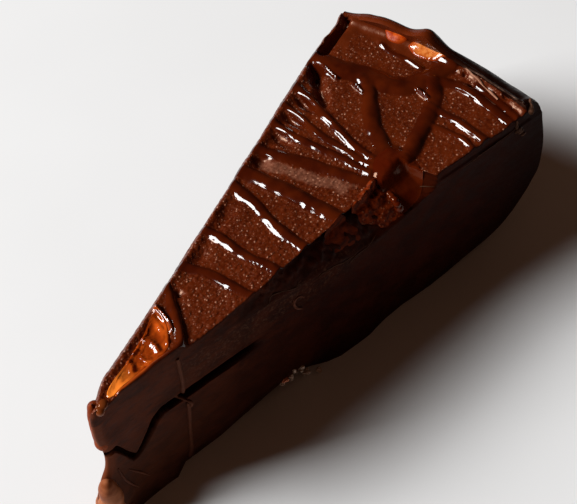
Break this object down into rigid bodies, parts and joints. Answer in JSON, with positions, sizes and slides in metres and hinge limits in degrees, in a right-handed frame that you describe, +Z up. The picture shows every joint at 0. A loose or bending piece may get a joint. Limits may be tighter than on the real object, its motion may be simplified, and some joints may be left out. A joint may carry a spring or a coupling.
{
  "type": "slice of chocolate cake",
  "caption": "Wedge slice of layered chocolate cake with a glazed heel and thick chocolate drizzle over a bubbly topping.",
  "frame": {"origin": "centre of the slice's bounding box at the base it stands on", "axes": "+X from the narrow tip to the glazed heel along the slice's middle line, +Y towards the slice's left cut face, +Z up"},
  "size_m": [0.133, 0.0574, 0.0493],
  "materials": {
    "lower_layer": "dark chocolate cake, smeared smooth by the knife, satin",
    "upper_layer": "dark chocolate mousse, smeared smooth by the knife, satin",
    "topping": "bubbly milk chocolate topping with glossy chocolate drizzle",
    "heel_coat": "smooth dark chocolate glaze"
  },
  "bodies": {
    "root": {"lower_layer": "lower_layer", "upper_layer": "upper_layer", "topping": "topping", "heel_coat": "heel_coat"}
  },
  "joints": []
}
